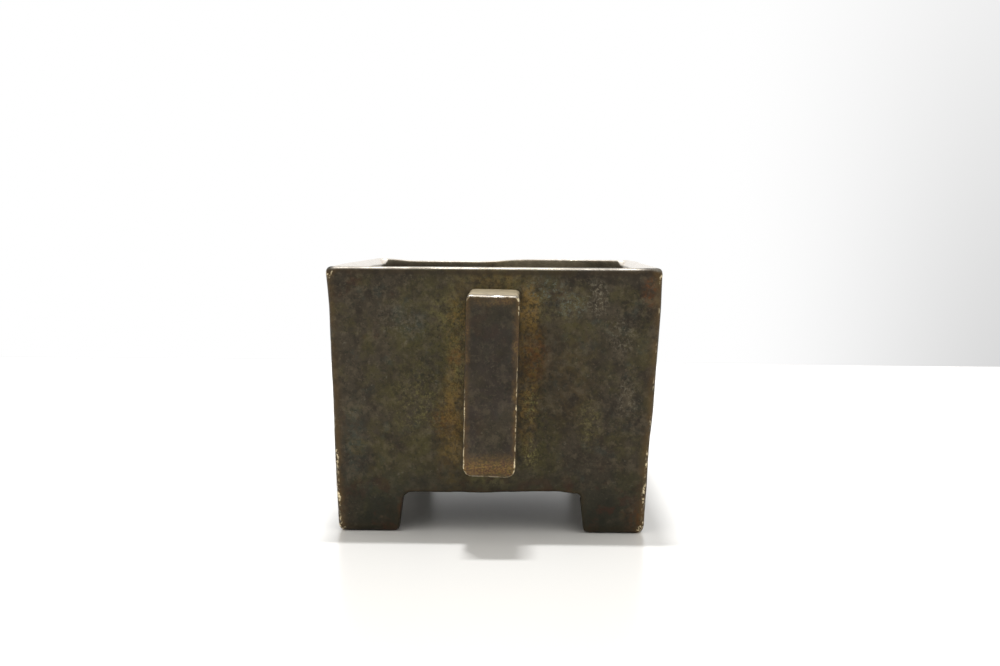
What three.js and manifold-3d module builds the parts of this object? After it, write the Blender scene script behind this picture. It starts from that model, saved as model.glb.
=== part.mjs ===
// Rectangular bronze incense burner of the manger form: a flared trough that stands on four
// bracket feet, with a square strap handle riveted to each end wall.
// Millimetres, +Z up. The origin is on the ground under the middle of the trough. The end walls
// with the handles face -Y, the front, and +Y, the rear.
import * as THREE from "three";
import { mergeVertices, toCreasedNormals } from "three/addons/utils/BufferGeometryUtils.js";
import Module from "manifold-3d";

const wasm = await Module();
wasm.setup();

// Trough
const rimWidth = 90; // outside, across the long walls
const rimLength = 130; // outside, across the end walls
const troughHeight = 72; // ground to rim
const wallThickness = 4.2;
const flareDegrees = 2.86; // each wall leans out by this much
const cornerRadius = 1.6; // outer upright corners
const insideCornerRadius = 3;
const rimRounding = 1.2; // both edges of the rim
const footRounding = 1.9; // outer bottom edge of the feet

// Bracket feet, left standing between arched cut-outs
const footWidth = 16.7; // at the ground, along each wall
const footTaper = 0.8; // how much wider a foot is at the top of its arch
const archHeight = 10.95;
const archCornerRadius = 2.6;
const toeRadius = 1.7; // inner bottom corner of a foot

// Floor plate, let in on a ledge
const ledgeRise = 1; // from the top of the arches to the underside of the ledge
const ledgeThickness = 2;
const ledgeWidth = 3;
const floorThickness = 2.6;

// Strap handles
const handleWidth = 13.7;
const handleReach = 20; // wall to the face of the grip
const strapThickness = 4.6;
const handleBelowRim = 5.6; // rim to the top of the upper arm
const headClearance = 1.35; // floor to the lower rivet's head
const upperBendRadius = 1; // outside of the upper bend, left nearly sharp
const lowerBendRadius = 5; // outside of the lower bend
const insideBendRadius = 1.4;
const strapEdge = 0.6; // rounding along the strap's edges
const upperCornerRadius = 1.4; // seen from the front
const lowerCornerRadius = 3.4;
const frontLeanDegrees = 1.1; // the front handle's top leans towards +X

// Rivets, driven from inside the trough into the arms of the handles
const rivetShankRadius = 1.3;
const rivetDepth = 6; // into the arm
const rivetHeadRadius = 3;
const rivetHeadHeight = 1.5;

const jointGap = 0.3; // solder or running gap between two pieces

// Smoothness
const cornerSegments = 6; // per quarter turn
const roundSegments = 24; // per full turn
const pastFace = 2; // how far a cutter runs past the face that it opens

const flare = THREE.MathUtils.degToRad(flareDegrees);
const ledgeBottom = archHeight + ledgeRise;
const ledgeTop = ledgeBottom + ledgeThickness;
const floorTop = ledgeTop + floorThickness;

// Outer half sizes of the trough at a height
const halfWidthAt = (z) => rimWidth / 2 - (troughHeight - z) * Math.tan(flare);
const halfLengthAt = (z) => rimLength / 2 - (troughHeight - z) * Math.tan(flare);

// Conversions between three.js geometry and manifold-3d solids

function solidFrom(geometry) {
  const loose = geometry.index ? geometry.toNonIndexed() : geometry.clone();
  const bare = new THREE.BufferGeometry();
  bare.setAttribute("position", loose.getAttribute("position"));
  const merged = mergeVertices(bare, 1e-4);
  return new wasm.Manifold(
    new wasm.Mesh({
      numProp: 3,
      vertProperties: merged.getAttribute("position").array,
      triVerts: new Uint32Array(merged.index.array),
    }),
  );
}

function geometryFrom(solid) {
  const { vertProperties, triVerts } = solid.getMesh();
  const geometry = new THREE.BufferGeometry();
  geometry.setAttribute("position", new THREE.BufferAttribute(vertProperties, 3));
  geometry.setIndex(new THREE.BufferAttribute(triVerts, 1));
  return toCreasedNormals(geometry, Math.PI / 6);
}

// Rectangle with round corners, as points that run anticlockwise seen from above
function roundedRectangle(halfX, halfY, radius) {
  const points = [];
  const corners = [
    [1, 1],
    [-1, 1],
    [-1, -1],
    [1, -1],
  ];
  corners.forEach(([signX, signY], quarter) => {
    for (let step = 0; step <= cornerSegments; step++) {
      const angle = (quarter + step / cornerSegments) * (Math.PI / 2);
      points.push([
        signX * (halfX - radius) + radius * Math.cos(angle),
        signY * (halfY - radius) + radius * Math.sin(angle),
      ]);
    }
  });
  return points;
}

// Closed skin through sections { z, halfX, halfY, radius }, lowest first
function loft(sections) {
  const rings = sections.map(({ halfX, halfY, radius }) => roundedRectangle(halfX, halfY, radius));
  const perRing = rings[0].length;
  const positions = rings.flatMap((ring, level) => {
    return ring.flatMap(([x, y]) => [x, y, sections[level].z]);
  });
  const bottomCentre = positions.length / 3;
  const topCentre = bottomCentre + 1;
  positions.push(0, 0, sections[0].z, 0, 0, sections.at(-1).z);
  const index = [];
  for (let i = 0; i < perRing; i++) {
    const next = (i + 1) % perRing;
    for (let level = 0; level < rings.length - 1; level++) {
      const low = level * perRing;
      const high = low + perRing;
      index.push(low + i, low + next, high + next, low + i, high + next, high + i);
    }
    const last = (rings.length - 1) * perRing;
    index.push(bottomCentre, next, i, topCentre, last + i, last + next);
  }
  const geometry = new THREE.BufferGeometry();
  geometry.setAttribute("position", new THREE.Float32BufferAttribute(positions, 3));
  geometry.setIndex(index);
  return geometry;
}

// Section of the flared trough at a height, moved in by inset from the outer face
function troughSection(z, inset, radius) {
  return { z, halfX: halfWidthAt(z) - inset, halfY: halfLengthAt(z) - inset, radius };
}

// Angles of a quarter round, from 0 to a right angle
const quarterTurn = Array.from({ length: cornerSegments + 1 }, (_, i) => {
  return (i / cornerSegments) * (Math.PI / 2);
});

// The outside of the walls, with round edges at the feet and at the rim
function troughOutside() {
  const leastRadius = 0.1;
  const rounded = (z, inset) => {
    return troughSection(z, inset, Math.max(cornerRadius - inset, leastRadius));
  };
  const bottom = quarterTurn
    .map((angle) => rounded(footRounding * (1 - Math.sin(angle)), footRounding * (1 - Math.cos(angle))))
    .reverse();
  const top = quarterTurn.map((angle) =>
    rounded(troughHeight - rimRounding * (1 - Math.sin(angle)), rimRounding * (1 - Math.cos(angle))),
  );
  return loft([...bottom, ...top]);
}

// The hollow above the ledge, opening out at the round inner edge of the rim
function troughHollow() {
  const widened = (z, spread) => troughSection(z, wallThickness - spread, insideCornerRadius + spread);
  const rim = quarterTurn.map((angle) =>
    widened(troughHeight - rimRounding * (1 - Math.sin(angle)), rimRounding * (1 - Math.cos(angle))),
  );
  const above = { ...rim.at(-1), z: troughHeight + pastFace };
  return loft([widened(ledgeTop, 0), ...rim, above]);
}

// The hollow between the feet, under the ledge
function footHollow() {
  return loft([
    troughSection(-pastFace, wallThickness, insideCornerRadius),
    troughSection(ledgeBottom, wallThickness, insideCornerRadius),
  ]);
}

// The opening in the ledge that the floor plate closes
function ledgeWindow() {
  const side = troughSection(ledgeTop, wallThickness + ledgeWidth, insideCornerRadius);
  return loft([
    { ...side, z: ledgeBottom - ledgeRise / 2 },
    { ...side, z: ledgeTop + floorThickness / 2 },
  ]);
}

// Outline of an arch between two feet, with the toes of the feet rounded
function archShape(halfSpan) {
  const crown = halfSpan - footTaper;
  const shape = new THREE.Shape();
  shape.moveTo(-halfSpan - toeRadius, -pastFace);
  shape.lineTo(halfSpan + toeRadius, -pastFace);
  shape.lineTo(halfSpan + toeRadius, 0);
  shape.absarc(halfSpan + toeRadius, toeRadius, toeRadius, -Math.PI / 2, -Math.PI, true);
  shape.lineTo(crown, archHeight - archCornerRadius);
  const springing = archHeight - archCornerRadius;
  shape.absarc(crown - archCornerRadius, springing, archCornerRadius, 0, Math.PI / 2);
  shape.lineTo(archCornerRadius - crown, archHeight);
  shape.absarc(archCornerRadius - crown, springing, archCornerRadius, Math.PI / 2, Math.PI);
  shape.lineTo(-halfSpan, toeRadius);
  shape.absarc(-halfSpan - toeRadius, toeRadius, toeRadius, 0, -Math.PI / 2, true);
  return shape;
}

// Cutter that opens one arch through the two walls that face along Y
function archCutter(halfSpan, reach) {
  const cutter = new THREE.ExtrudeGeometry(archShape(halfSpan), {
    depth: 2 * reach,
    bevelEnabled: false,
    curveSegments: cornerSegments,
  });
  return cutter.translate(0, 0, -reach).rotateX(Math.PI / 2);
}

// Handles. A seat is the frame in which a handle and its rivets are made: its origin lies on the
// outer face of the end wall, midway between the arms, with +Y square out of the wall and +Z up it.
const wallDepth = wallThickness * Math.cos(flare); // measured square to the wall
const upperArmHeight = troughHeight - handleBelowRim - strapThickness / 2;
const lowerArmHeight = floorTop + headClearance + rivetHeadRadius;
const seatHeight = (upperArmHeight + lowerArmHeight) / 2;
const armSpacing = (upperArmHeight - lowerArmHeight) / Math.cos(flare);

const ends = [
  { name: "front", turn: Math.PI, lean: -THREE.MathUtils.degToRad(frontLeanDegrees) },
  { name: "rear", turn: 0, lean: 0 },
];

function handleSeat({ turn, lean }) {
  const seat = new THREE.Group();
  seat.position.set(0, halfLengthAt(seatHeight), seatHeight);
  seat.rotation.set(-flare, lean, 0);
  const end = new THREE.Group();
  end.rotation.z = turn;
  end.add(seat);
  return { end, seat };
}

const arms = [
  { name: "upper", z: armSpacing / 2 },
  { name: "lower", z: -armSpacing / 2 },
];

// Side view of a handle: x runs out from the wall and y up it
function strapProfile() {
  const top = armSpacing / 2 + strapThickness / 2;
  const bottom = -top;
  const armUnder = top - strapThickness;
  const armOver = bottom + strapThickness;
  const down = -Math.PI / 2;
  const up = Math.PI / 2;
  const lowerBend = handleReach - lowerBendRadius;
  const upperBend = handleReach - upperBendRadius;
  const insideBend = handleReach - strapThickness - insideBendRadius;
  const shape = new THREE.Shape();
  shape.moveTo(jointGap, bottom);
  shape.lineTo(lowerBend, bottom);
  shape.absarc(lowerBend, bottom + lowerBendRadius, lowerBendRadius, down, 0);
  shape.lineTo(handleReach, top - upperBendRadius);
  shape.absarc(upperBend, top - upperBendRadius, upperBendRadius, 0, up);
  shape.lineTo(jointGap, top);
  shape.lineTo(jointGap, armUnder);
  shape.lineTo(insideBend, armUnder);
  shape.absarc(insideBend, armUnder - insideBendRadius, insideBendRadius, up, 0, true);
  shape.lineTo(insideBend + insideBendRadius, armOver + insideBendRadius);
  shape.absarc(insideBend, armOver + insideBendRadius, insideBendRadius, 0, down, true);
  shape.lineTo(jointGap, armOver);
  return shape;
}

// Front view of a handle: x runs across the strap and y up it
function strapFrontOutline() {
  const half = handleWidth / 2;
  const top = armSpacing / 2 + strapThickness / 2;
  const shape = new THREE.Shape();
  const corner = (signX, signY, radius, from) => {
    const centreX = signX * (half - radius);
    const centreY = signY * (top - radius);
    shape.absarc(centreX, centreY, radius, from, from + Math.PI / 2);
  };
  corner(1, -1, lowerCornerRadius, -Math.PI / 2);
  corner(1, 1, upperCornerRadius, 0);
  corner(-1, 1, upperCornerRadius, Math.PI / 2);
  corner(-1, -1, lowerCornerRadius, Math.PI);
  return shape;
}

// A round hole along Y in the frame of a seat, for a rivet
function rivetHole(z, from, to) {
  const radius = rivetShankRadius + jointGap;
  const hole = new THREE.CylinderGeometry(radius, radius, to - from, roundSegments);
  return hole.translate(0, (from + to) / 2, z);
}

function handleGeometry() {
  const strap = new THREE.ExtrudeGeometry(strapProfile(), {
    depth: handleWidth - 2 * strapEdge,
    bevelThickness: strapEdge,
    bevelSize: strapEdge,
    bevelOffset: -strapEdge,
    bevelSegments: 3,
    curveSegments: cornerSegments,
  });
  strap.translate(0, 0, strapEdge - handleWidth / 2);
  const profileAxes = [new THREE.Vector3(0, 1, 0), new THREE.Vector3(0, 0, 1), new THREE.Vector3(1, 0, 0)];
  strap.applyMatrix4(new THREE.Matrix4().makeBasis(...profileAxes));
  const front = new THREE.ExtrudeGeometry(strapFrontOutline(), {
    depth: handleReach + 2 * pastFace,
    bevelEnabled: false,
    curveSegments: cornerSegments,
  });
  front.rotateX(Math.PI / 2).translate(0, handleReach + pastFace, 0);
  let solid = solidFrom(strap).intersect(solidFrom(front));
  for (const { z } of arms) {
    solid = solid.subtract(solidFrom(rivetHole(z, -pastFace, rivetDepth + jointGap)));
  }
  return geometryFrom(solid);
}

// A rivet along Y: its domed head lies inside the wall, and its shank ends in the arm
function rivetGeometry(z) {
  const underHead = -wallDepth - jointGap;
  const domeSteps = 5;
  const profile = [];
  for (let step = 0; step <= domeSteps; step++) {
    const angle = (step / domeSteps) * (Math.PI / 2);
    profile.push(
      new THREE.Vector2(
        rivetHeadRadius * Math.sin(angle),
        underHead - rivetHeadHeight * Math.cos(angle),
      ),
    );
  }
  profile.push(
    new THREE.Vector2(rivetShankRadius, underHead),
    new THREE.Vector2(rivetShankRadius, rivetDepth),
    new THREE.Vector2(0, rivetDepth),
  );
  return new THREE.LatheGeometry(profile, roundSegments).translate(0, 0, z);
}

// The cast body: four walls, four feet and the ledge, with the rivet holes drilled
function bodyGeometry() {
  let solid = solidFrom(troughOutside());
  for (const hollow of [troughHollow(), footHollow(), ledgeWindow()]) {
    solid = solid.subtract(solidFrom(hollow));
  }
  const pastWalls = rimLength / 2 + pastFace;
  const endArches = archCutter(halfWidthAt(0) - footWidth, pastWalls);
  const sideArches = archCutter(halfLengthAt(0) - footWidth, pastWalls).rotateZ(Math.PI / 2);
  solid = solid.subtract(solidFrom(endArches)).subtract(solidFrom(sideArches));
  for (const spec of ends) {
    const { end, seat } = handleSeat(spec);
    end.updateMatrixWorld(true);
    for (const { z } of arms) {
      const hole = rivetHole(z, -wallDepth - pastFace, pastFace).applyMatrix4(seat.matrixWorld);
      solid = solid.subtract(solidFrom(hole));
    }
  }
  return geometryFrom(solid);
}

// The floor plate fills the trough from wall to wall, less the solder gap
function floorGeometry() {
  const inset = wallThickness + jointGap;
  return loft([
    troughSection(ledgeTop, inset, insideCornerRadius),
    troughSection(floorTop, inset, insideCornerRadius),
  ]);
}

// Materials
const bodyBronze = new THREE.MeshStandardMaterial({ color: 0x463c2c, roughness: 0.5, metalness: 0.6 });
const floorBronze = new THREE.MeshStandardMaterial({ color: 0x3a3329, roughness: 0.7, metalness: 0.5 });
const handleBronze = new THREE.MeshStandardMaterial({ color: 0x40362c, roughness: 0.45, metalness: 0.6 });
const rivetBronze = new THREE.MeshStandardMaterial({ color: 0x54462f, roughness: 0.5, metalness: 0.7 });

function named(name, geometry, material) {
  const mesh = new THREE.Mesh(geometry, material);
  mesh.name = name;
  return mesh;
}

const burner = new THREE.Group();
burner.add(named("cast_body", bodyGeometry(), bodyBronze));
burner.add(named("floor_plate", floorGeometry(), floorBronze));
for (const spec of ends) {
  const { end, seat } = handleSeat(spec);
  seat.add(named(`${spec.name}_handle`, handleGeometry(), handleBronze));
  for (const arm of arms) {
    seat.add(named(`${spec.name}_${arm.name}_rivet`, rivetGeometry(arm.z), rivetBronze));
  }
  burner.add(end);
}

export default burner;
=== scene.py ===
import math
import bpy
import bmesh
import numpy as np
from mathutils import Matrix, Vector, noise


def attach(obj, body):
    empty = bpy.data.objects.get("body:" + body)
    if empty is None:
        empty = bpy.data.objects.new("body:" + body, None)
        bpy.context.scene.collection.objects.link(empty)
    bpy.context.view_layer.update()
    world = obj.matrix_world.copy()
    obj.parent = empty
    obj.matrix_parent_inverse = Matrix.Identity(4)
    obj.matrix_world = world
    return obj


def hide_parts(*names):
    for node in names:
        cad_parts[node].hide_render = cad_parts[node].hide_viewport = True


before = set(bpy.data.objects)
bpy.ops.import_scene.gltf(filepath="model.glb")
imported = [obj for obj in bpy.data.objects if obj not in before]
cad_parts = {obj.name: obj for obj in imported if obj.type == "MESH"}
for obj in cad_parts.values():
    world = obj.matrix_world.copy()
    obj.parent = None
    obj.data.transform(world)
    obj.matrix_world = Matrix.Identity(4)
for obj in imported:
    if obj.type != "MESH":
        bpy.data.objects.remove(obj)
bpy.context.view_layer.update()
scene = bpy.context.scene
mm = 0.001
print("frame loaded")


def linear(code):  # an sRGB hex colour as the linear one that a socket takes
    channels = [int(code[i:i + 2], 16) / 255 for i in (1, 3, 5)]
    return [c / 12.92 if c <= 0.04045 else ((c + 0.055) / 1.055) ** 2.4 for c in channels] + [1.0]


def addNode(tree, kind, inputs=None, **settings):  # a node given as an input links its first output
    made = tree.nodes.new("ShaderNode" + kind)
    for name, value in settings.items():
        setattr(made, name, value)
    for name, value in (inputs or {}).items():
        if isinstance(value, bpy.types.Node):
            value = value.outputs[0]
        if isinstance(value, bpy.types.NodeSocket):
            tree.links.new(value, made.inputs[name])
        else:
            made.inputs[name].default_value = value
    return made


# Meshes. Each piece starts as an even skin over a copy of its CAD solid, and is then worked in
# numpy: points are an n by 3 array in millimetres.

def skinned(nodeName, voxel):
    solid = bmesh.new()
    solid.from_mesh(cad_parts[nodeName].data)
    bmesh.ops.remove_doubles(solid, verts=solid.verts, dist=1e-6)
    mesh = bpy.data.meshes.new(nodeName + "_copy")
    solid.to_mesh(mesh)
    solid.free()
    carrier = bpy.data.objects.new(nodeName + "_copy", mesh)
    scene.collection.objects.link(carrier)
    remesh = carrier.modifiers.new("skin", "REMESH")
    remesh.mode = "VOXEL"
    remesh.voxel_size = voxel * mm
    skin = bpy.data.meshes.new_from_object(carrier.evaluated_get(bpy.context.evaluated_depsgraph_get()))
    bpy.data.objects.remove(carrier)
    return skin


def pointsOf(mesh):
    flat = np.zeros(len(mesh.vertices) * 3)
    mesh.vertices.foreach_get("co", flat)
    return flat.reshape(-1, 3) / mm


def setPoints(mesh, points):
    mesh.vertices.foreach_set("co", (points * mm).ravel())
    mesh.update()


def normalsOf(mesh):
    flat = np.zeros(len(mesh.vertices) * 3)
    mesh.vertex_normals.foreach_get("vector", flat)
    return flat.reshape(-1, 3)


def edgesOf(mesh):
    flat = np.zeros(len(mesh.edges) * 2, np.int64)
    mesh.edges.foreach_get("vertices", flat)
    return flat.reshape(-1, 2)


def relaxed(points, edges, rounds, amount=0.5):
    one, two = edges.T
    both = np.concatenate([one, two])
    others = np.concatenate([two, one])
    count = np.bincount(both, minlength=len(points))[:, None]
    for _ in range(rounds):
        around = np.stack([np.bincount(both, points[others, axis], len(points)) for axis in range(3)], 1)
        points = points + amount * (around / count - points)
    return points


def steadied(points, edges, rounds):  # takes the voxel steps out and keeps the volume
    for _ in range(rounds):
        points = relaxed(points, edges, 1)
        points = relaxed(points, edges, 1, amount=-0.52)
    return points


def noiseAt(points, size, seed=0):  # -1 to 1, with lumps about size millimetres across
    shifted = points / size + seed * 17.3
    return np.array([noise.noise(p) for p in shifted.tolist()])


def smooth(span, values):  # 0 at the span's first end, 1 at its second
    low, high = span
    t = np.clip((values - low) / (high - low), 0, 1)
    return t * t * (3 - 2 * t)


def zone(*limits):  # several such fades at once, as pairs of a span and what it is read against
    share = 1.0
    for span, values in limits:
        share = share * smooth(span, values)
    return share


def bulge(mesh, points, edges, rounds):  # how far each point stands out of its surroundings
    gentle = relaxed(points, edges, rounds)
    return ((points - gentle) * normalsOf(mesh)).sum(1)


def keepValue(mesh, name, values):
    mesh.attributes.new(name, "FLOAT", "POINT").data.foreach_set("value", values.astype(np.float32))


def thinned(mesh, mostTriangles):
    carrier = bpy.data.objects.new("thinning", mesh)
    scene.collection.objects.link(carrier)
    decimate = carrier.modifiers.new("thin", "DECIMATE")
    decimate.ratio = min(1.0, mostTriangles / (2 * len(mesh.polygons)))
    done = bpy.data.meshes.new_from_object(carrier.evaluated_get(bpy.context.evaluated_depsgraph_get()))
    bpy.data.objects.remove(carrier)
    return done


def finishPiece(name, mesh, material, nodeName):
    mesh.name = name
    mesh.polygons.foreach_set("use_smooth", [True] * len(mesh.polygons))
    mesh.materials.clear()
    mesh.materials.append(material)
    piece = bpy.data.objects.new(name, mesh)
    scene.collection.objects.link(piece)
    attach(piece, "root")
    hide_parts(nodeName)
    print(name, len(mesh.polygons), "faces")


# The solids' own sizes over the rim, in millimetres. Below, a pair is a span: something fades in
# from the first value to the second, along x, y (Along) or z (Up) unless a note says otherwise.
rim = {"halfWide": 45, "halfLong": 65, "high": 72, "flare": math.radians(2.86)}


def drawnIn(z):  # how far the leaning walls have come in at a height
    return (rim["high"] - z) * math.tan(rim["flare"])


# The slips of hand work that run through the whole burner, in millimetres
slips = {
    "frontEndAlong": (20, -60),  # those of the front end grow towards it
    "rimShift": 0.25,  # its rim sits this far to +X
    "footShift": -0.4,  # and its feet this far to -X
    "rightFootOut": 0.3,
    "rightFoot": (20, 38),
    "rightFootUp": (32, 6),
    "waistShift": 0.2,  # the walls bow to +X at half height
    "waistOut": 0.22,  # and the right-hand one more
    "waistRight": (20, 40),
    "waistFromUp": (22, 36),
    "waistToUp": (72, 60),
    "lipOut": 0.25,  # the upright corners kick out under the rim
    "lip": (34, 45),
    "lipUp": (63, 74),
    "rimUp": (60, 72),
    "rimRise": (0.22, 0.42),  # the rim stands this much higher, front and rear
    "rearDip": 0.62,  # but the rear rim's left half has sunk
    "dipRight": (8, -8),
    "dipLeft": (-42, -30),
    "dipAlong": (20, 60),
    "cornerDrop": 0.7,  # the rim's corners are worn down
    "corner": (41.8, 45.2),
    "cornerAlong": (61.8, 65.2),
    "cornerUp": (64, 72),
    "swell": 0.14,  # slow lumps left by the mould
    "swellSize": 17,
    "handleShift": 0.3,  # the front handle sits this far to +X
    "handleFollows": 0.3,  # and moves by this share of the feet's shift
}


def outOfTrue(points):
    x, y, z = points.T
    front = smooth(slips["frontEndAlong"], y)
    shift = slips["footShift"] + (slips["rimShift"] - slips["footShift"]) * z / rim["high"]
    shift = shift + slips["rightFootOut"] * zone((slips["rightFootUp"], z), (slips["rightFoot"], x))
    waist = zone((slips["waistFromUp"], z), (slips["waistToUp"], z))
    shift = shift + waist * (slips["waistShift"] + slips["waistOut"] * smooth(slips["waistRight"], x))
    lip = zone((slips["lipUp"], z), (slips["lip"], np.abs(x))) * np.sign(x)
    x = x + shift * front + lip * slips["lipOut"]
    rise = slips["rimRise"][1] + (slips["rimRise"][0] - slips["rimRise"][1]) * front
    dip = zone((slips["dipRight"], x), (slips["dipLeft"], x), (slips["dipAlong"], y))
    rise = rise - slips["rearDip"] * dip
    corner = zone((slips["corner"], np.abs(x)), (slips["cornerAlong"], np.abs(y)))
    z = z + smooth(slips["rimUp"], z) * rise - smooth(slips["cornerUp"], z) * corner * slips["cornerDrop"]
    return np.stack([x, y, z], 1)


# Cast body: the trough with its feet

body = {
    "voxel": 0.5,
    "triangles": 190000,
    "steadying": 4,  # rounds that smooth the voxel skin
    "standRounds": 24,  # and rounds of the gentler form that an arris stands out of
    # the front arch, filed by hand
    "frontWallAlong": (-55, -57),
    "archCorner": (23.9, 10.95),  # its crown corner in the solid, and the radius there
    "archRadius": 2.6,
    "tightRadius": 1.2,  # the right-hand corner was filed tighter
    "tightWithin": 5.5,  # no further than this from the old radius's centre
    "archOut": 0.45,  # the right side is further out
    "archOutFrom": (16, 22),
    "archOutTo": (36, 27),
    "archOutUp": (15, 10),
    "archUp": 0.5,  # and the crown is highest between the middle and that corner
    "archUpFrom": (-2, 14),
    "archUpTo": (23.5, 18),
    "archUpUp": (15, 11),
    # lumps, nicks and the worn rim
    "fineSwell": 0.04,
    "fineSwellSize": 5,
    "arris": (0.10, 0.32),  # how far a point stands out
    "lowUp": (48, 12),  # the lower half is knocked and handled most
    "nickDepth": 0.4,
    "nickSize": 1.5,
    "nicked": (0.1, 0.45),  # of the noise
    "dentSize": 4.5,
    "dented": (0.3, 0.6),
    "dentShare": 0.4,
    "soleUp": (-0.1, 1.2),  # the soles of the feet stay flat
    "rimWave": 0.2,
    "rimWaveSize": 24,
    "lipWear": 1.3,  # the long walls' inner lips are worn down, where a cover slid
    "lipWearFromSide": (1.2, 4.2),
    "lipWearFromEnd": (4.0, 6.5),
    "lipWearUp": (67.0, 71.0),
    # where the marks lie
    "uprightFromFaces": (3.5, 1.5),  # distance from two outer faces
    "rimTopUp": (69.8, 71.4),
    "rimTopFacing": (0.5, 0.8),  # how squarely the surface looks up
    "rearFacingMore": (0.35, 0.15),  # the rear rim's polish keeps to its flat
    "rear": (41, 39.5),
    "rearAlong": (58, 61),
    "frontRimAlong": (-58, -61),  # the front rim is duller than the others
    "dullLeft": (42.4, 43.8),  # most of all towards its ends
    "dullRight": (38.5, 41),
    "dullRightShare": 0.8,
    "dullAll": 0.54,
    "dullPatches": 0.18,
    "dullPatchSize": 6,
    "insideFromFaces": (3.8, 4.4),
    "floorTop": 16.55,
    # a painted highlight: the long walls' inner faces just under the rim are made polished metal, so that
    # they show bright
    "innerLipUp": (66.8, 67.9),
    "innerLipAlong": (50, 42),
    "innerLipFacing": (0.55, 0.8),
    "innerLipBreak": 0.8,  # its lower edge is ragged by this much
    "innerLipBreakSize": 2.2,
    "wornStand": 0.3,  # an arris that stands out this far is worn through
    "hollowStand": 0.35,
    "handledRight": (0, 20),  # hands wear the right-hand arrises all the way up
    "handledRightShare": 0.55,
    "handledUp": (64, 69),  # and the corners of the rim
    "handledUpShare": 0.75,
    # a painted shade line just under the rim's top
    "underRimUp": (69.4, 70.4),
    "underRimFacing": (0.5, 0.2),
    "dullInsideUp": (64, 69),
    "dullInside": 0.12,
    "dullInsideMore": 0.3,  # added between these two
    "dullInsideFrom": (-4, 4),
    "dullInsideTo": (32, 24),
    # the walls and feet darken towards the bottom: painted shade
    "darkeningUp": (24, 3),
    "sootInside": 0.4,
    "footRubbed": (34, 40),
    "footRubbedUp": (14, 5),
    "footRubbedAlong": (-55, -60),
    "ashDepth": 14,
}


def fileFrontArch(points):
    x, y, z = points.T  # views, so that what follows moves the points themselves
    side, top = body["archCorner"]
    big, small = body["archRadius"], body["tightRadius"]
    along, up = x - (side - big), z - (top - big)
    away = np.hypot(along, up) + 1e-9
    across, rise = np.clip(along / away, 0, 1), np.clip(up / away, 0, 1)
    # on each ray from the big arc's centre, the distance to the tighter corner
    inset = big - small
    middle = inset * (across + rise)
    reach = middle + np.sqrt(np.maximum(middle ** 2 - 2 * inset ** 2 + small ** 2, 0))
    atFront = smooth(body["frontWallAlong"], y)
    share = zone(((0, 0.5), np.minimum(along, up)), ((body["tightWithin"], big), away)) * atFront
    push = np.maximum(reach - big, 0) * share
    x += across * push
    z += rise * push
    out = zone((body["archOutFrom"], x), (body["archOutTo"], x), (body["archOutUp"], z))
    x += body["archOut"] * out * atFront
    crown = zone((body["archUpFrom"], x), (body["archUpTo"], x), (body["archUpUp"], z))
    z += body["archUp"] * crown * atFront
    return points


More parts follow.
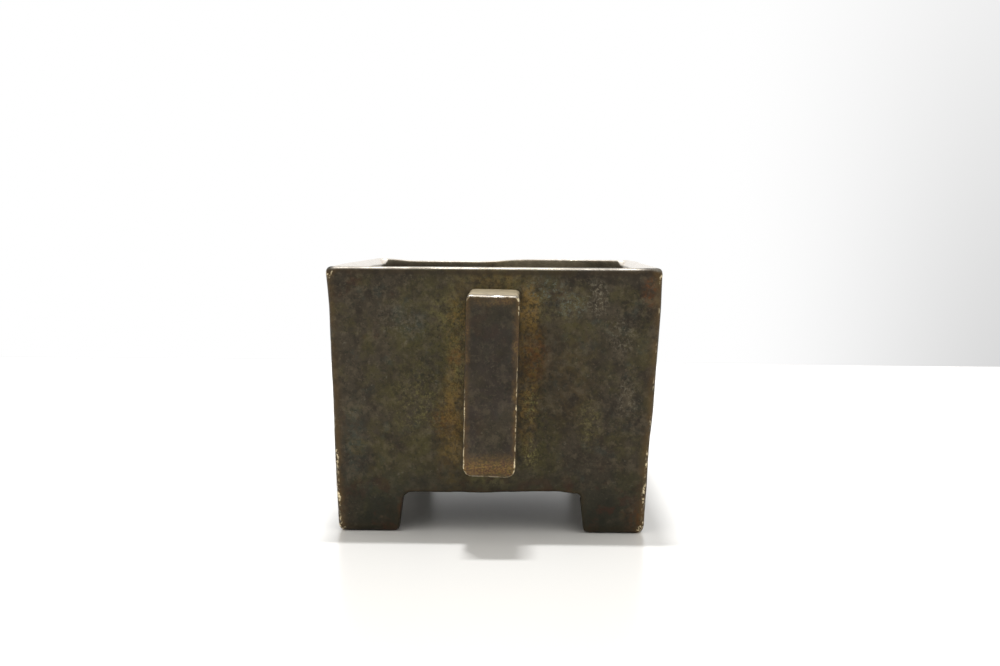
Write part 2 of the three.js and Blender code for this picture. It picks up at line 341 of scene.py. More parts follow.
def makeBody(material):
    mesh = skinned("cast_body", body["voxel"])
    edges = edgesOf(mesh)
    points = fileFrontArch(steadied(pointsOf(mesh), edges, body["steadying"]))
    setPoints(mesh, points)
    stand = bulge(mesh, points, edges, body["standRounds"])
    normals = normalsOf(mesh)
    x, y, z = points.T
    fromSide = rim["halfWide"] - drawnIn(z) - np.abs(x)
    fromEnd = rim["halfLong"] - drawnIn(z) - np.abs(y)
    upright = zone((body["uprightFromFaces"], fromSide), (body["uprightFromFaces"], fromEnd))
    low = smooth(body["lowUp"], z)
    rear = zone((body["rearAlong"], y), (body["rear"], np.abs(x)))
    facing = [least + more * rear for least, more in zip(body["rimTopFacing"], body["rearFacingMore"])]
    rimTop = zone((body["rimTopUp"], z), (facing, normals[:, 2]))

    swell = noiseAt(points, slips["swellSize"], 1) * slips["swell"]
    swell += noiseAt(points, body["fineSwellSize"], 2) * body["fineSwell"]
    nicks = smooth(body["nicked"], noiseAt(points, body["nickSize"], 3)) * (0.1 + 0.9 * low * upright)
    nicks += smooth(body["dented"], noiseAt(points, body["dentSize"], 4)) * body["dentShare"]
    swell -= smooth(body["arris"], stand) * nicks * body["nickDepth"] * (1 - 0.7 * rimTop)
    swell *= smooth(body["soleUp"], z) * (1 - 0.8 * rimTop)
    points = points + normals * swell[:, None]
    hollow = zone((body["lipWearFromSide"], fromSide), (body["lipWearFromEnd"], fromEnd))
    points[:, 2] -= hollow * smooth(body["lipWearUp"], z) * body["lipWear"]
    wave = noiseAt(points * [1, 1, 0], body["rimWaveSize"], 5) * body["rimWave"]
    points[:, 2] += smooth(slips["rimUp"], z) * wave
    points = outOfTrue(points)
    setPoints(mesh, points)

    floorTop = body["floorTop"]
    inside = zone((body["insideFromFaces"], np.minimum(fromSide, fromEnd)), ((floorTop - 4, floorTop), z))
    ragged = z + noiseAt(points, body["innerLipBreakSize"], 9) * body["innerLipBreak"]
    # the inner lips: a painted highlight, given as polished metal
    innerLip = zone((body["innerLipUp"], ragged), (body["innerLipAlong"], np.abs(y)))
    innerLip = innerLip * inside * smooth(body["innerLipFacing"], np.abs(normals[:, 0]))
    wear = np.clip(stand / body["wornStand"], 0, 1) * (1 - rimTop) * (1 - inside)
    handled = np.maximum(low, body["handledRightShare"] * smooth(body["handledRight"], x))
    handled = np.maximum(handled, body["handledUpShare"] * smooth(body["handledUp"], z))
    keepValue(mesh, "wornAndGlint", wear * (0.25 + 0.75 * upright * (0.4 + 0.6 * handled)))
    # darker in hollows, and a painted shade line just under the rim's top
    underRim = zone((body["underRimUp"], z), (body["underRimFacing"], normals[:, 2])) * (1 - inside)
    keepValue(mesh, "grimeAndShade", np.maximum(np.clip(-stand / body["hollowStand"], 0, 1), underRim))
    frontRim = smooth(body["frontRimAlong"], y)
    dullRight = body["dullRightShare"] * smooth(body["dullRight"], x)
    dulled = frontRim * np.maximum(smooth(body["dullLeft"], -x), dullRight)
    patches = smooth((-0.3, 0.4), noiseAt(points, body["dullPatchSize"], 6))
    duller = frontRim * (body["dullAll"] + body["dullPatches"] * patches)
    keepValue(mesh, "polishAndLit", np.maximum(rimTop, innerLip) * (1 - dulled) * (1 - duller))
    streak = zone((body["dullInsideFrom"], x), (body["dullInsideTo"], x))
    dullInside = inside * smooth(body["dullInsideUp"], z) * (1 - rimTop) * (1 - innerLip)
    keepValue(mesh, "dullAndSheen", dullInside * (body["dullInside"] + body["dullInsideMore"] * streak))
    foot = zone((body["footRubbed"], np.abs(x)), (body["footRubbedUp"], z), (body["footRubbedAlong"], y))
    # darker towards the bottom: painted shade, less on the rubbed front feet; soot inside the trough
    below = smooth(body["darkeningUp"], z) * (1 - 0.7 * foot)
    keepValue(mesh, "sootAndShade", np.maximum(below, body["sootInside"] * inside))
    keepValue(mesh, "ash", inside * smooth((floorTop + body["ashDepth"], floorTop), z))
    finishPiece("trough", thinned(mesh, body["triangles"]), material, "cast_body")


# Floor: a cast plate soldered in on the ledge over the arches

plate = {
    "voxel": 0.6,
    "triangles": 60000,
    "steadying": 3,
    "standRounds": 20,
    "fillet": 0.5,  # the solder runs the plate's edge out to the walls
    "filletOut": (30, 37.5),
    "filletAlong": (50, 57),
    "warp": 0.12,
    "warpSize": 12,
    "fineSwell": 0.04,
    "fineSwellSize": 3,
    "upFacing": (-0.2, 0.5),
    "middle": (38, 14),  # the ash lies thinner in the middle
    "middleAlong": (58, 20),
    "hollowStand": 0.5,
}


def makeFloor(material):
    mesh = skinned("floor_plate", plate["voxel"])
    edges = edgesOf(mesh)
    points = steadied(pointsOf(mesh), edges, plate["steadying"])
    for axis, span in ((0, plate["filletOut"]), (1, plate["filletAlong"])):
        away = points[:, axis]
        points[:, axis] += np.sign(away) * plate["fillet"] * smooth(span, np.abs(away))
    setPoints(mesh, points)
    stand = bulge(mesh, points, edges, plate["standRounds"])
    normals = normalsOf(mesh)
    swell = noiseAt(points, plate["warpSize"], 7) * plate["warp"]
    swell += noiseAt(points, plate["fineSwellSize"], 8) * plate["fineSwell"]
    points = outOfTrue(points + normals * swell[:, None])
    setPoints(mesh, points)
    upwards = smooth(plate["upFacing"], normals[:, 2])
    middle = zone((plate["middleAlong"], np.abs(points[:, 1])), (plate["middle"], np.abs(points[:, 0])))
    keepValue(mesh, "grimeAndShade", np.clip(-stand / plate["hollowStand"], 0, 1))
    keepValue(mesh, "ash", upwards * (1 - 0.5 * middle))
    # darker where the plate does not face up
    keepValue(mesh, "sootAndShade", 1 - upwards)
    finishPiece("trough_floor", thinned(mesh, plate["triangles"]), material, "floor_plate")


# Strap handles. Out is the distance from the end wall.

strap = {"topFace": 66.4, "underside": 18.3, "reach": 20, "wide": 13.7}  # its sizes in the solid
handle = {
    "voxel": 0.25,
    "steadying": 3,
    "standRounds": 24,
    "rootDepth": 0.8,  # the arms are let into the wall by this much
    "rootOut": (1.6, 0.3),
    "swells": ((8, 0.10, 11), (2.5, 0.025, 12)),  # size, height and seed
    "arris": (0.06, 0.2),
    "nickDepth": 0.16,
    "nickSize": 1.1,
    "nicked": (0.05, 0.5),
    # where the marks lie
    "topFacing": (0.5, 0.75),
    "topFacingBreak": 0.4,  # the noise makes its edge ragged
    "topFacingBreakSize": 1.2,
    "topUp": (strap["topFace"] - 3, strap["topFace"] - 1.5),
    "upperBendOut": (strap["reach"] - 1.9, strap["reach"] - 1.5),
    "creaseAt": strap["reach"] - 2.3,  # a painted shade line behind the bend
    "creaseFrom": (0.5, 0.15),  # and how near to it the dark begins
    "creaseUp": (strap["topFace"] - 1, strap["topFace"]),
    "lowerBendUp": (strap["underside"] + 7.5, strap["underside"] + 0.5),
    "lowerBendOut": (9, 14),
    "belowFacing": (-0.8, -0.92),
    "belowOut": (14, 17),
    "belowUp": (25, 20),
    "borderFromEdge": (1.9, 0.7),  # the strap is rubbed all round its face
    "borderUp": (strap["topFace"] - 4.4, strap["topFace"] - 2.6),
    "borderOut": (12, 17),
    "borderPatchSize": 2.2,
    "lowerUp": (50, 36),  # its arrises shine most here, and again near the top
    "upperUp": (60, 63),
    "upperRight": (-5, 0),
    "rightHand": (0, 3),  # the right-hand arris more than the left
    "wornStand": 0.185,
    "hollowStand": 0.25,
    "polishPatchSize": 2.5,
    # the strap darkens towards the top
    "darkeningUp": (38, 60),
}


def makeHandle(end, material):
    mesh = skinned(end + "_handle", handle["voxel"])
    edges = edgesOf(mesh)
    points = steadied(pointsOf(mesh), edges, handle["steadying"])
    setPoints(mesh, points)
    stand = bulge(mesh, points, edges, handle["standRounds"])
    normals = normalsOf(mesh)
    x, y, z = points.T
    side = -1 if end == "front" else 1
    out = side * y - (rim["halfLong"] - drawnIn(z))

    ragged = noiseAt(points, handle["topFacingBreakSize"], 14) * handle["topFacingBreak"]
    above = zone((handle["topFacing"], normals[:, 2] + ragged), (handle["topUp"], z))
    bend = above * smooth(handle["upperBendOut"], out)
    crease = zone((handle["creaseFrom"], np.abs(out - handle["creaseAt"])), (handle["creaseUp"], z))
    # the lower bend is rubbed lighter, also as a painted reflection of the floor below it
    lowerBend = zone((handle["lowerBendUp"], z), (handle["lowerBendOut"], out))
    # the underside of the lower bend gets a bright line of bared metal: a painted reflection of the floor
    below = zone((handle["belowFacing"], normals[:, 2]), (handle["belowOut"], out), (handle["belowUp"], z))
    sides = smooth(handle["borderFromEdge"], strap["wide"] / 2 - np.abs(x))
    border = np.maximum(sides, smooth(handle["borderUp"], z)) * smooth(handle["borderOut"], out)

    swell = sum(noiseAt(points, size, seed) * high for size, high, seed in handle["swells"])
    nicks = smooth(handle["nicked"], noiseAt(points, handle["nickSize"], 13))
    swell -= smooth(handle["arris"], stand) * nicks * handle["nickDepth"]
    points = points + normals * swell[:, None]
    points[:, 1] -= side * smooth(handle["rootOut"], out) * handle["rootDepth"]
    if end == "front":
        points[:, 0] += slips["handleShift"] + slips["footShift"] * slips["handleFollows"]
    setPoints(mesh, points)

    upper = smooth(handle["upperUp"], z) * (0.5 + 0.5 * smooth(handle["upperRight"], x))
    fade = 0.55 + 0.45 * np.maximum(smooth(handle["lowerUp"], z), upper)
    fade = fade + 0.25 * smooth(handle["rightHand"], x)
    edge = np.clip(stand / handle["wornStand"], 0, 1) * np.clip(fade, 0, 1) * (1 - above)
    # worn arrises, and the painted reflection under the lower bend
    keepValue(mesh, "wornAndGlint", np.maximum(edge, below))
    # darker in hollows, and the painted shade line of the crease
    keepValue(mesh, "grimeAndShade", np.maximum(np.clip(-stand / handle["hollowStand"], 0, 1), crease))
    patches = smooth((-0.3, 0.4), noiseAt(points, handle["polishPatchSize"], 16))
    keepValue(mesh, "polishAndLit", bend * (0.2 + 0.45 * patches))
    # the arms' top faces are painted pale: rubbed, dusty metal, and a painted sheen where they face the
    # lamp
    keepValue(mesh, "dullAndSheen", above * (1 - bend) * (1 - crease))
    # darker towards the top
    keepValue(mesh, "sootAndShade", 0.3 * smooth(handle["darkeningUp"], z))
    patches = smooth((-0.2, 0.5), noiseAt(points, handle["borderPatchSize"], 15))
    keepValue(mesh, "rubbedAndLit", np.maximum(lowerBend, border * (0.08 + 0.3 * patches)))
    finishPiece(end + "_strap_handle", mesh, material, end + "_handle")


# Rivets: hammered heads inside the trough

rivet = {
    "voxel": 0.2,
    "steadying": 2,
    "standRounds": 16,
    "hammered": 0.09,
    "hammerMark": 1.6,
    "seated": 0.35,  # driven home against the wall
    "wornStand": 0.3,
}


def makeRivet(end, arm, material):
    nodeName = f"{end}_{arm}_rivet"
    mesh = skinned(nodeName, rivet["voxel"])
    edges = edgesOf(mesh)
    points = steadied(pointsOf(mesh), edges, rivet["steadying"])
    setPoints(mesh, points)
    stand = bulge(mesh, points, edges, rivet["standRounds"]) / rivet["wornStand"]
    hammered = noiseAt(points, rivet["hammerMark"], 21) * rivet["hammered"]
    points = points + normalsOf(mesh) * hammered[:, None]
    points[:, 1] += (-1 if end == "front" else 1) * rivet["seated"]
    setPoints(mesh, points)
    keepValue(mesh, "wornAndGlint", np.clip(stand, 0, 1))
    keepValue(mesh, "grimeAndShade", np.clip(-stand, 0, 1))
    keepValue(mesh, "rubbedAndLit", 0.3 * np.clip(stand, 0, 1))
    finishPiece(nodeName + "_hammered", mesh, material, nodeName)


# Materials. Old bronze: the metal only shows where hands and use have rubbed it. Elsewhere lies a
# thin brown oxide that still reflects like metal, clouded with olive and grey-green salts.

patinaColours = {
    "darkBrown": "#29231c",
    "paleBrown": "#625846",
    "olive": "#4a4526",
    "paleOlive": "#7d7448",
    "greyFleck": "#77705f",
    "greenFleck": "#62665a",
    "rust": "#5a371b",
    "golden": "#5e4a20",
    "goldenBright": "#84693a",
    "edgeBrown": "#5d4727",
    "slate": "#383d36",
    "blackGreen": "#23241b",
    "redBrown": "#42261a",
    "copperRed": "#624633",
    "bareMetalAndGlint": "#d6c6a2",
    "rubbedMetalAndLit": "#ede5d9",
    "dullMetalAndSheen": "#aa9c7f",
    "ash": "#857b6b",
}

# Clouds of colour on the end walls and on the long sides, in millimetres: hue, centre (along the
# wall, up), radii, how full, and the size of the lumps that fray it. The fine ones show as flecks.
soft, frayed, flecks = 1.9, 1.2, 0.8
endClouds = [
    ("olive", (-14, 40), (17, 34), 0.65, soft),
    ("olive", (12, 24), (8, 16), 0.7, soft),
    ("olive", (24, 50), (8, 9), 0.4, soft),
    ("olive", (26, 31), (4, 8), 0.6, soft),
    ("golden", (10.5, 50), (4.2, 20), 0.8, soft),
    ("golden", (-11.0, 28), (4.5, 20), 0.8, soft),
    ("darkBrown", (32, 26), (20, 16), 0.55, soft),
    ("darkBrown", (23, 44), (7, 8), 0.4, soft),
    ("darkBrown", (24.5, 69.5), (8, 5), 1.0, soft),
    ("darkBrown", (-28, 68), (16, 7), 0.5, soft),
    ("darkBrown", (39.5, 62), (6.5, 10), 1.0, soft),
    ("goldenBright", (9.6, 61), (3.6, 7), 1.0, soft),
    ("goldenBright", (9.6, 51), (3, 5), 0.45, soft),
    ("goldenBright", (9.4, 34), (3, 13), 0.55, soft),
    ("goldenBright", (-10.4, 30), (3.2, 13), 0.45, soft),
    ("paleOlive", (-10.4, 54), (3.2, 18), 0.48, soft),
    ("paleOlive", (-14, 60), (4, 7), 0.45, soft),
    ("paleOlive", (17, 62), (9, 6), 0.35, soft),
    ("golden", (-9.5, 60), (3.0, 9), 0.6, soft),
    ("olive", (-11.5, 54), (3.5, 7), 0.8, soft),
    ("slate", (-21, 57), (4.5, 5), 0.8, soft),
    ("slate", (-37, 24), (4, 14), 0.8, soft),
    ("slate", (-27, 10), (7, 7), 0.6, soft),
    ("rust", (-9.5, 48), (3.0, 2.4), 1.0, frayed),
    ("rust", (-13, 31), (4.5, 4), 0.6, frayed),
    ("rust", (11.5, 48), (4.2, 9), 0.7, frayed),
    ("rust", (42, 66), (2.5, 5), 0.8, frayed),
    ("rust", (39, 4), (4, 5), 0.9, frayed),
    ("rust", (-28, 4), (3, 5), 0.6, frayed),
    ("greenFleck", (14, 66), (7, 4.5), 0.8, flecks),
    ("greenFleck", (21, 62), (5, 4), 0.8, flecks),
    ("greyFleck", (28, 64), (3.6, 6), 0.8, flecks),
    ("greyFleck", (35, 54), (4.5, 6), 0.55, flecks),
    ("greyFleck", (36.5, 37), (4, 7), 0.55, flecks),
    ("greyFleck", (-24, 58), (8, 6), 0.35, flecks),
    ("goldenBright", (9.8, 62), (3, 7), 0.9, flecks),
    ("goldenBright", (-9.5, 55), (4, 10), 0.6, flecks),
    ("goldenBright", (-11, 30), (4.5, 13), 0.45, flecks),
    ("paleOlive", (-9.2, 43), (3.2, 4), 1.0, flecks),
    ("paleOlive", (10.5, 35), (2.6, 5), 0.9, flecks),
    ("paleOlive", (10.5, 22), (2.6, 5), 0.9, flecks),
    ("paleOlive", (-20, 36), (9, 12), 0.4, flecks),
    ("paleOlive", (26, 31), (4, 8), 0.4, flecks),
    ("blackGreen", (12, 42), (7, 32), 0.7, flecks),
    ("blackGreen", (-14, 42), (12, 32), 0.6, flecks),
    # The next four are painted light on the end walls: paler above the handles, where they bounce light
    # onto the wall, and paler below and beside them, against the shade they cast
    ("paleOlive", (1, 68.5), (13, 4.5), 0.3, soft),
    ("goldenBright", (1, 68.5), (12, 4.5), 0.28, soft),
    ("paleOlive", (0, 14.5), (8, 3.5), 0.5, soft),
    ("goldenBright", (-10, 38), (3, 16), 0.42, soft),
    ("golden", (20, 42), (9, 16), 0.2, soft),
    ("darkBrown", (39, 34), (4, 11), 0.7, soft),
]
sideClouds = [
    ("golden", (-20, 40), (20, 18), 0.35, soft),
    ("golden", (22, 36), (18, 20), 0.35, soft),
    ("olive", (0, 20), (40, 16), 0.6, soft),
    ("olive", (-44, 50), (14, 16), 0.6, soft),
    ("slate", (10, 58), (14, 8), 0.7, soft),
    ("rust", (48, 30), (6, 9), 0.6, frayed),
    ("rust", (-56, 8), (8, 8), 0.6, frayed),
    ("greyFleck", (38, 58), (12, 8), 0.5, flecks),
    ("greenFleck", (-30, 62), (9, 7), 0.5, flecks),
    ("paleOlive", (-6, 34), (22, 14), 0.4, flecks),
]

patina = {
    "endWall": 64,  # the clouds' distance from the middle of the trough
    "sideWall": 43,
    "cloudDepth": 7,
    "cloudReach": (1.25, 0.3),  # it fades in from this share of its radius to this
    "cloudCut": (0.38, 0.62),  # of the noise that frays it
    "fleckCut": (0.48, 0.62),
    "wornThrough": (0.7, 0.95),  # where an arris is down to the metal, and where the handles' painted reflection shows
    "bumpDepth": 0.12,  # millimetres, for the sand's grain
    "pits": -0.6,  # and the others against it
    "dents": 1.2,
    "polishedBump": 0.05,
    "oxideMetallic": 0.75,
    "dullCover": 0.35,  # how much of the metal's reflection these two hide
    "ashCover": 0.8,
    "ashRoughness": 0.85,
    "dullRoughness": 0.55,
    "bareRoughness": 0.3,
    "polishedRoughness": 0.24,
}


def agedBronze(name, tint, mottled, flecked, bare, roughness, grain, walls=()):
    material = bpy.data.materials.new(name)
    material.use_nodes = True
    tree = material.node_tree
    tree.nodes.clear()
    place = addNode(tree, "TexCoord").outputs["Object"]

    def speckle(sizeMm, cut, seed=0.0, detail=6.0, rough=0.65):  # lumps of a size, cut out of noise
        shifted = addNode(tree, "VectorMath", {0: place, 1: (seed, seed * 0.7, -seed)}, operation="ADD")
        lumps = addNode(tree, "TexNoise", {
            "Vector": shifted, "Scale": 1000 / sizeMm, "Detail": detail, "Roughness": rough,
        })
        return addNode(tree, "MapRange", {"Value": lumps, "From Min": cut[0], "From Max": cut[1]},
                       interpolation_type="SMOOTHSTEP")

    def paint(under, hue, *amounts):  # a coat of a hue, as full as its amounts multiplied
        full = amounts[0]
        for amount in amounts[1:]:
            full = addNode(tree, "Math", {0: full, 1: amount}, operation="MULTIPLY")
        coat = linear(patinaColours.get(hue, hue))
        return addNode(tree, "Mix", {0: full, 6: under, 7: coat}, data_type="RGBA").outputs[2]

    # slow patches of oxide with frayed edges
    colour = paint(linear(patinaColours["darkBrown"]), tint, speckle(5, (0.26, 0.58), detail=9))
    colour = paint(colour, "olive", speckle(8, (0.47, 0.62), seed=3.1, detail=9), 0.5 * mottled)
    colour = paint(colour, "slate", speckle(6, (0.55, 0.66), seed=7.7, detail=9), 0.55 * mottled)
    colour = paint(colour, "redBrown", speckle(7, (0.58, 0.70), seed=5.3, detail=9), 0.45 * mottled)

    # clouds that lie on one pair of walls, and the same on both of the pair
    x, y, z = addNode(tree, "SeparateXYZ", {0: place}).outputs
    mirrored = addNode(tree, "VectorMath", {0: place}, operation="ABSOLUTE")
    mirroredX, mirroredY, _ = addNode(tree, "SeparateXYZ", {0: mirrored}).outputs
    for wall, clouds in walls:
        onWall = (x, mirroredY, z) if wall == "end" else (mirroredX, y, z)
        folded = addNode(tree, "CombineXYZ", dict(enumerate(onWall)))
        for index, (hue, (along, up), (halfLong, halfHigh), full, lump) in enumerate(clouds):
            centre, radii = (along, patina["endWall"], up), (halfLong, patina["cloudDepth"], halfHigh)
            if wall == "side":
                centre, radii = (patina["sideWall"], along, up), (patina["cloudDepth"], halfLong, halfHigh)
            centre, radii = Vector(centre) * mm, Vector(radii) * mm
            away = addNode(tree, "VectorMath", {0: folded, 1: centre}, operation="SUBTRACT")
            share = addNode(tree, "VectorMath", {0: away, 1: radii}, operation="DIVIDE")
            near = addNode(tree, "MapRange", {
                "Value": addNode(tree, "VectorMath", {0: share}, operation="LENGTH").outputs["Value"],
                "From Min": patina["cloudReach"][0], "From Max": patina["cloudReach"][1],
            }, interpolation_type="SMOOTHSTEP")
            cut = patina["fleckCut"] if lump == flecks else patina["cloudCut"]
            lumps = speckle(lump, cut, seed=1.3 * index + 0.4, detail=8, rough=0.72)
            colour = paint(colour, hue, near, lumps, full)

    # mottle a few millimetres across, then the fine one that the casting sand left: its grains are
    # about 0.3 mm, drawn three times as coarse to show
    colour = paint(colour, "paleBrown", speckle(2.8, (0.50, 0.64), 17.1, 5, 0.6), flecked)
    colour = paint(colour, "darkBrown", speckle(3.2, (0.50, 0.64), 21.3, 5, 0.6), flecked, 1.3)
    colour = paint(colour, "blackGreen", speckle(1.2, (0.52, 0.64), 11.5, 6, 0.7), 0.5)
    colour = paint(colour, "paleBrown", speckle(0.9, (0.54, 0.66), 14.2, 5, 0.7), flecked)
    colour = paint(colour, "greyFleck", speckle(1.8, (0.60, 0.68), 9.1, 7, 0.75), flecked)
    pits = speckle(1.1, (0.64, 0.71), seed=4.4, detail=3)
    colour = paint(colour, "blackGreen", pits, 0.6)

    # wear and dirt, with painted light and shade, from the marks that the mesh carries
    edge, grimeAndShade, polishAndLit, rubbedAndLit, dullAndSheen, ash, sootAndShade = [
        addNode(tree, "Attribute", attribute_name=mark).outputs["Fac"]
        for mark in ("wornAndGlint", "grimeAndShade", "polishAndLit", "rubbedAndLit", "dullAndSheen", "ash", "sootAndShade")
    ]
    # darker low on the walls and feet, as painted shade, and inside with soot
    colour = paint(colour, "blackGreen", sootAndShade, speckle(5, (0.2, 0.5), seed=8.2), 0.85)
    colour = paint(colour, "redBrown", sootAndShade, speckle(6, (0.5, 0.62), seed=2.7), 0.5)
    # darker in hollows, with painted shade lines under the rim and in the handles' crease
    colour = paint(colour, "darkBrown", grimeAndShade, 0.6)
    colour = paint(colour, "ash", ash, speckle(4, (0.42, 0.66), 12.4, 8, 0.7), 0.7)
    colour = paint(colour, "edgeBrown", edge, speckle(4, (0.3, 0.6), seed=6.1), 0.7)
    # rubbed thin: copper-red under olive remains, with glints; on the handles' lower bends the lighter
    # colour is also a painted reflection of the floor
    glints = speckle(0.55, (0.42, 0.62), 3.3, 4, 0.7)
    colour = paint(colour, "copperRed", rubbedAndLit, 0.6)
    colour = paint(colour, "olive", rubbedAndLit, speckle(1.8, (0.46, 0.58), 5.7, 4, 0.6), 0.7)
    colour = paint(colour, "goldenBright", rubbedAndLit, glints, 0.8)
    # metal gone dull, with a painted sheen on the handles' top faces; polished metal, with a painted
    # highlight on the long walls' inner lips; and metal bared on the arrises, with a painted reflection of
    # the floor under the handles' lower bends
    # pale dull metal; on the handles' top faces it is also a painted sheen
    dullShare = addNode(tree, "MapRange", {
        "Value": speckle(2.2, (0.35, 0.65), seed=4.9), "To Min": 0.6, "To Max": 0.95,
    })
    colour = paint(colour, "dullMetalAndSheen", dullAndSheen, dullShare)
    # polished metal on the rims and bends; on the long walls' inner lips it is a painted highlight
    patchy = addNode(tree, "MapRange", {"Value": speckle(3.5, (0.3, 0.55), 13.3, 6, 0.7), "To Min": 0.72})
    polishAndLit = addNode(tree, "Math", {0: polishAndLit, 1: patchy}, operation="MULTIPLY")
    colour = paint(colour, "rubbedMetalAndLit", polishAndLit)
    through = addNode(tree, "MapRange", {
        "Value": edge, "From Min": patina["wornThrough"][0], "From Max": patina["wornThrough"][1],
    })
    broken = speckle(0.9, (bare, bare + 0.1), 12.7, 3, 0.6)
    shine = addNode(tree, "Math", {0: through, 1: broken}, operation="MULTIPLY")
    colour = paint(colour, "bareMetalAndGlint", shine)

    # relief: the sand's grain, pits and slow dents, nearly all gone where it is polished
    sand = speckle(0.7, (0.2, 0.8), seed=1.9)
    height = addNode(tree, "Math", {0: pits, 1: patina["pits"], 2: sand}, operation="MULTIPLY_ADD")
    dents = speckle(5, (0.2, 0.8), seed=6.6, detail=4)
    height = addNode(tree, "Math", {0: dents, 1: patina["dents"], 2: height}, operation="MULTIPLY_ADD")
    strength = addNode(tree, "MapRange", {
        "Value": polishAndLit, "To Min": grain, "To Max": patina["polishedBump"],
    })
    bump = addNode(tree, "Bump", {
        "Height": height, "Strength": strength, "Distance": patina["bumpDepth"] * mm,
    })

    gloss = addNode(tree, "MapRange", {
        "Value": speckle(6, (0.2, 0.8), seed=8.8), "To Min": roughness[0], "To Max": roughness[1],
    })
    for mark, value in ((ash, "ashRoughness"), (dullAndSheen, "dullRoughness"), (shine, "bareRoughness"),
                        (polishAndLit, "polishedRoughness")):
        gloss = addNode(tree, "Mix", {0: mark, 2: gloss, 3: patina[value]})

    clean = addNode(tree, "Math", {0: shine, 1: polishAndLit}, operation="MAXIMUM")
    metal = addNode(tree, "MapRange", {"Value": clean, "To Min": patina["oxideMetallic"]})
    dullCover = addNode(tree, "Math", {0: dullAndSheen, 1: patina["dullCover"]}, operation="MULTIPLY")
    ashCover = addNode(tree, "Math", {0: ash, 1: patina["ashCover"]}, operation="MULTIPLY")
    covered = addNode(tree, "Math", {0: dullCover, 1: ashCover}, operation="MAXIMUM")
    uncovered = addNode(tree, "Math", {0: 1.0, 1: covered}, operation="SUBTRACT")
    metal = addNode(tree, "Math", {0: metal, 1: uncovered}, operation="MULTIPLY")
    shader = addNode(tree, "BsdfPrincipled", {
        "Base Color": colour, "Roughness": gloss, "Metallic": metal, "Normal": bump,
    })
    addNode(tree, "OutputMaterial", {"Surface": shader})
    return material


# sand cast, browned and clouded by age: a dull skin with broad soft highlights, bright where worn and on
# the inner lips, where a highlight is painted
castBronze = agedBronze(
    "castBronzeBrownPatina", tint="#3f382d", mottled=1.0, flecked=0.32, bare=0.5,
    roughness=(0.45, 0.62), grain=0.4, walls=[("end", endClouds), ("side", sideClouds)],
)
# the same, scaled by heat and filmed with ash: grey-brown, rough, with next to no highlight
ashBronze = agedBronze(
    "castBronzeAshDulled", tint="#3d3429", mottled=0.8, flecked=0.6, bare=0.6,
    roughness=(0.6, 0.8), grain=0.7,
)
# cast, filed flat and rubbed by fingers: darker, closer and smoother, with thin bright arrises
handledBronze = agedBronze(
    "castBronzeRubbedSmooth", tint="#342d27", mottled=0.3, flecked=0.2, bare=0.44,
    roughness=(0.40, 0.52), grain=0.25,
)
# hammered over: yellower, bright on the crowns of the hammer marks
rivetBronze = agedBronze(
    "hammeredBronzeRivet", tint="#4a3d2b", mottled=0.6, flecked=0.3, bare=0.44,
    roughness=(0.4, 0.55), grain=0.4,
)
print("materials made")

makeBody(castBronze)
makeFloor(ashBronze)
for end in ("front", "rear"):
    makeHandle(end, handledBronze)
    for arm in ("upper", "lower"):
        makeRivet(end, arm, rivetBronze)
print("pieces made")


# Studio: a pale floor, one lamp overhead, and a backdrop and room light that the world gives

studio = {
    "floorFront": -0.9,
    "floorBack": 0.50,  # its far edge
    "floorHalf": 1.2,
    "floorColour": "#f7f6f4",
    "floorRoughness": 0.25,
    "keyPlace": (-0.09, 0.445, 2.95),  # overhead, a little behind the burner
    "keySize": (0.30, 0.15),
    "keyWatts": 60.0,
    # the room's light, by the direction it comes from: bright behind the camera, dim behind the burner
    "fillColour": "#fffdf8",
    "fillFrom": (-0.8, 0.3),
    "fillStrength": (1.3, 0.5),
    "rightFrom": (0.3, 0.9),
    "rightStrength": 0.15,  # added towards +X
    # the white backdrop behind the burner darkens to the right, more so low down
    "shadeRight": (0.12, 0.33),
    "shadeDown": (0.15, -0.08),
    "shade": (0.15, 0.34),
    "shadeAhead": (0.75, 0.9),
}


def makeStage():
    half, front, back = studio["floorHalf"], studio["floorFront"], studio["floorBack"]
    mesh = bpy.data.meshes.new("stageFloor")
    corners = [(-half, front, 0), (half, front, 0), (half, back, 0), (-half, back, 0)]
    mesh.from_pydata(corners, [], [(0, 1, 2, 3)])
    stage = bpy.data.objects.new("stageFloor", mesh)
    scene.collection.objects.link(stage)
    # white satin lacquer, sprayed: it mirrors the burner softly and faintly
    material = bpy.data.materials.new("whiteLacquerSatin")
    material.use_nodes = True
    shader = material.node_tree.nodes["Principled BSDF"]
    shader.inputs["Base Color"].default_value = linear(studio["floorColour"])
    shader.inputs["Roughness"].default_value = studio["floorRoughness"]
    mesh.materials.append(material)


def makeLamp():
    lamp = bpy.data.lights.new("overheadLamp", "AREA")
    lamp.shape = "RECTANGLE"
    lamp.size, lamp.size_y = studio["keySize"]
    lamp.energy = studio["keyWatts"]
    key = bpy.data.objects.new("overheadLamp", lamp)
    key.location = studio["keyPlace"]
    key.rotation_euler = (-key.location).to_track_quat("-Z", "Y").to_euler()
    scene.collection.objects.link(key)


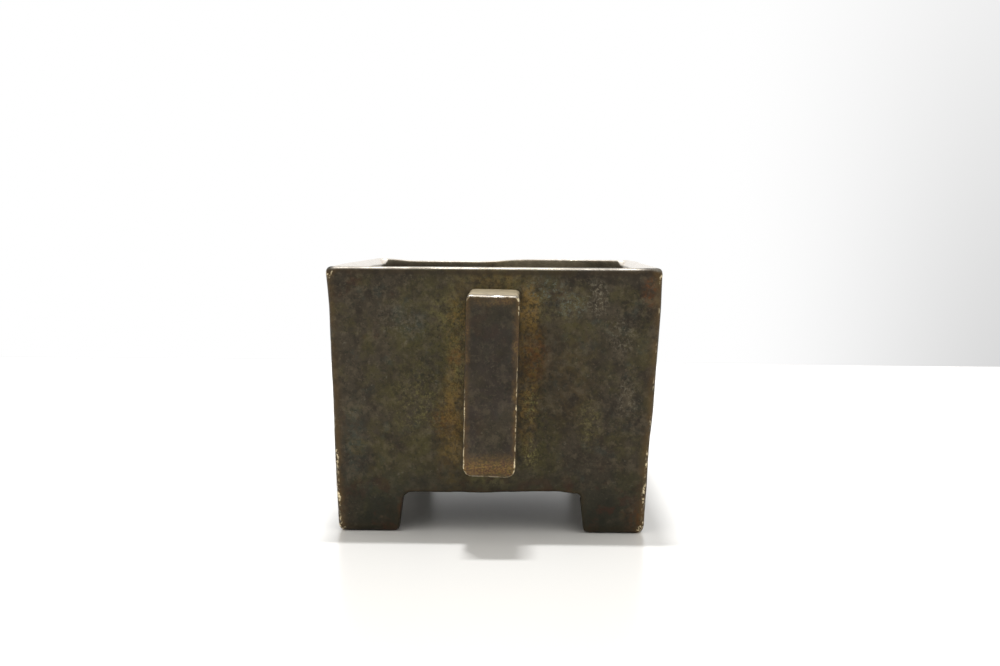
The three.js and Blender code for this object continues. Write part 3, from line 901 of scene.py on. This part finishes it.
def makeRoom():  # the camera and mirror-like surfaces see the backdrop, all else is lit by the room
    world = bpy.data.worlds.new("whiteRoom")
    world.use_nodes = True
    tree = world.node_tree
    tree.nodes.clear()
    x, y, z = addNode(tree, "SeparateXYZ", {0: addNode(tree, "TexCoord").outputs["Generated"]}).outputs

    ranges = []
    for direction, seenFrom, strength in (
        (y, studio["fillFrom"], studio["fillStrength"]),
        (x, studio["rightFrom"], (0, studio["rightStrength"])),
        (x, studio["shadeRight"], (0, 1)),
        (z, studio["shadeDown"], studio["shade"]),
        (y, studio["shadeAhead"], (0, 1)),
    ):
        ranges.append(addNode(tree, "MapRange", {
            "Value": direction, "From Min": seenFrom[0], "From Max": seenFrom[1],
            "To Min": strength[0], "To Max": strength[1],
        }))
    fill, fromRight, rightwards, downwards, ahead = ranges
    rightwards.interpolation_type = "SMOOTHSTEP"
    fill = addNode(tree, "Math", {0: fill, 1: fromRight})
    room = addNode(tree, "Background", {"Color": linear(studio["fillColour"]), "Strength": fill})
    shade = addNode(tree, "Math", {0: rightwards, 1: downwards}, operation="MULTIPLY")
    shade = addNode(tree, "Math", {0: shade, 1: ahead}, operation="MULTIPLY")
    bright = addNode(tree, "Math", {0: 1.0, 1: shade}, operation="SUBTRACT")
    backdrop = addNode(tree, "Background", {"Color": (1, 1, 1, 1), "Strength": bright})
    path = addNode(tree, "LightPath").outputs
    seen = addNode(tree, "Math", {0: path["Is Camera Ray"], 1: path["Is Glossy Ray"]}, operation="MAXIMUM")
    mix = addNode(tree, "MixShader", {0: seen, 1: room, 2: backdrop})
    addNode(tree, "OutputWorld", {"Surface": mix})
    scene.world = world


camera = {
    "place": (11.362, -474.832, 80.598),  # millimetres, fitted to the photo
    "pitch": 3.623,  # degrees down
    "yaw": -1.306,  # degrees towards +X
    "roll": 0.381,
    "focalPixels": 1536.7,
    "imageWidth": 1000,
    "sensorMm": 36,
    "clipStart": 0.01,
}


def makeCamera():
    yaw, pitch, roll = (math.radians(camera[key]) for key in ("yaw", "pitch", "roll"))
    level = Vector((math.sin(yaw), math.cos(yaw), 0))
    right = Vector((math.cos(yaw), -math.sin(yaw), 0))
    ahead = level * math.cos(pitch) - Vector((0, 0, math.sin(pitch)))
    up = right.cross(ahead)
    rolledRight = right * math.cos(roll) + up * math.sin(roll)
    rolledUp = up * math.cos(roll) - right * math.sin(roll)
    turned = Matrix((rolledRight, rolledUp, -ahead)).transposed().to_4x4()
    lens = bpy.data.cameras.new("camera")
    lens.sensor_width = camera["sensorMm"]
    lens.lens = camera["focalPixels"] / camera["imageWidth"] * lens.sensor_width
    lens.clip_start = camera["clipStart"]
    eye = bpy.data.objects.new("camera", lens)
    eye.matrix_world = Matrix.Translation(Vector(camera["place"]) * mm) @ turned
    scene.collection.objects.link(eye)
    scene.camera = eye


makeStage()
makeLamp()
makeRoom()
makeCamera()
scene.view_settings.view_transform = "Standard"
print("studio made")
